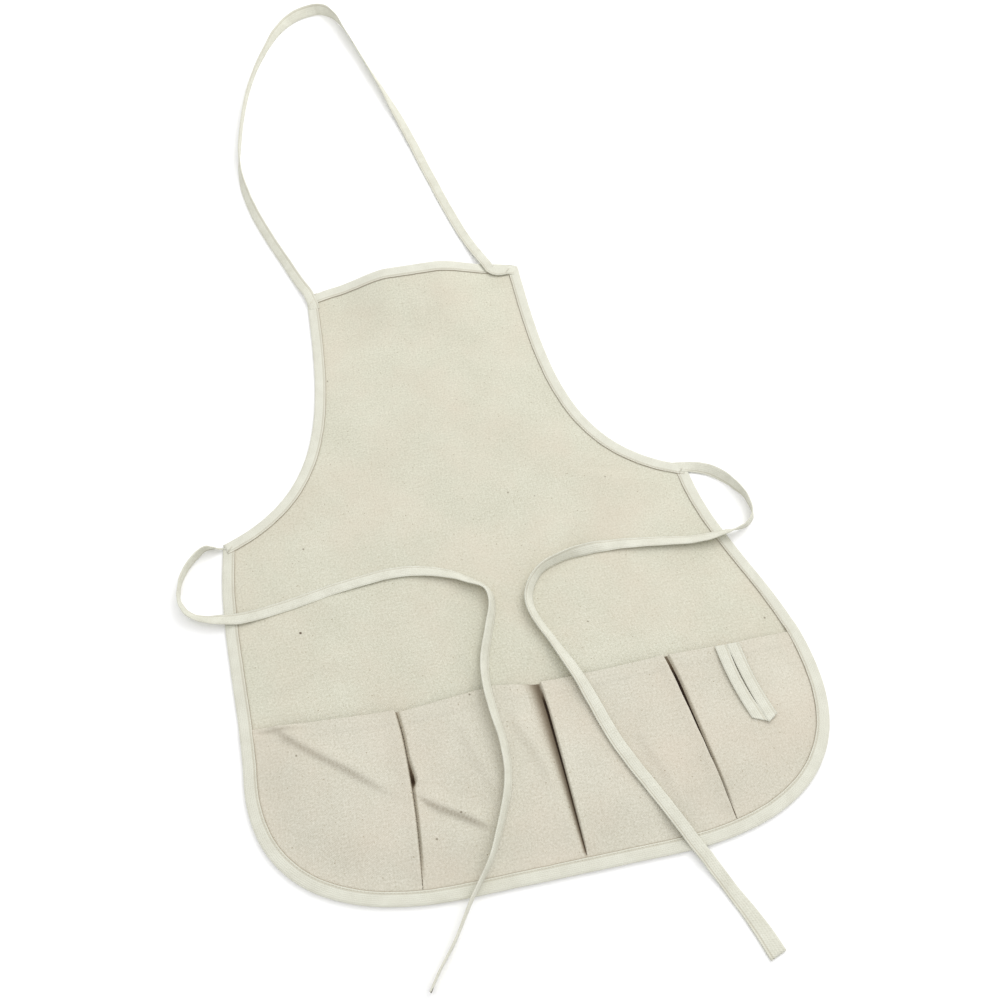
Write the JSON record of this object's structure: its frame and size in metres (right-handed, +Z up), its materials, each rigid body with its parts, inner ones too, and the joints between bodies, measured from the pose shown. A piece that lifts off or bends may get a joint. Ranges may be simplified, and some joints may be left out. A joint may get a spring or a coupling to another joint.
{
  "type": "bib apron",
  "caption": "Bound canvas bib apron lying face up, with a neck strap, two waist ties, a pleated pocket strip and a towel loop.",
  "frame": {"origin": "centre of the bounding box of the sewn apron, without its loose tapes, on the surface that it lies on", "axes": "+Z up out of the front of the cloth, +Y from the hem to the bib, +X to the right seen from the front"},
  "size_m": [0.5209, 1.1696, 0.0183],
  "materials": {
    "canvas": "natural cotton canvas, matte",
    "tape": "cotton twill tape, matte",
    "thread": "cotton sewing thread"
  },
  "bodies": {
    "apron": {"body_panel": "canvas", "pocket_panel": "canvas", "bib_binding": "tape", "left_armhole_binding": "tape", "right_armhole_binding": "tape", "skirt_binding": "tape", "neck_strap_left_end": "tape", "neck_strap_right_end": "tape", "left_tie_root": "tape", "right_tie_root": "tape", "bib_binding_thread": "thread", "left_armhole_thread": "thread", "right_armhole_thread": "thread", "skirt_binding_thread": "thread", "pocket_hem_thread": "thread", "divider_thread_1": "thread", "divider_thread_2": "thread", "divider_thread_3": "thread", "left_strap_tack": "thread", "right_strap_tack": "thread", "left_waist_tack": "thread", "right_waist_tack": "thread"},
    "neck_strap": {"neck_strap": "tape"},
    "left_tie": {"left_tie": "tape"},
    "right_tie": {"right_tie": "tape"},
    "towel_loop": {"utility_loop": "tape"}
  },
  "joints": [
    {"name": "neck_strap_fold", "type": "hinge", "parent": "apron", "child": "neck_strap", "pos_m": [-0.0237, 0.2975, 0.0045], "axis": [1, 0, 0], "range_deg": [0, 165]},
    {"name": "left_tie_swing", "type": "hinge", "parent": "apron", "child": "left_tie", "pos_m": [-0.2767, -0.012, 0.0056], "axis": [0, -1, 0], "range_deg": [0, 170]},
    {"name": "right_tie_swing", "type": "hinge", "parent": "apron", "child": "right_tie", "pos_m": [0.2353, -0.032, 0.0056], "axis": [0, 1, 0], "range_deg": [0, 170]},
    {"name": "towel_loop_flap", "type": "hinge", "parent": "apron", "child": "towel_loop", "pos_m": [0.1712, -0.1565, 0.0107], "axis": [-1, 0, 0], "range_deg": [0, 165]}
  ]
}
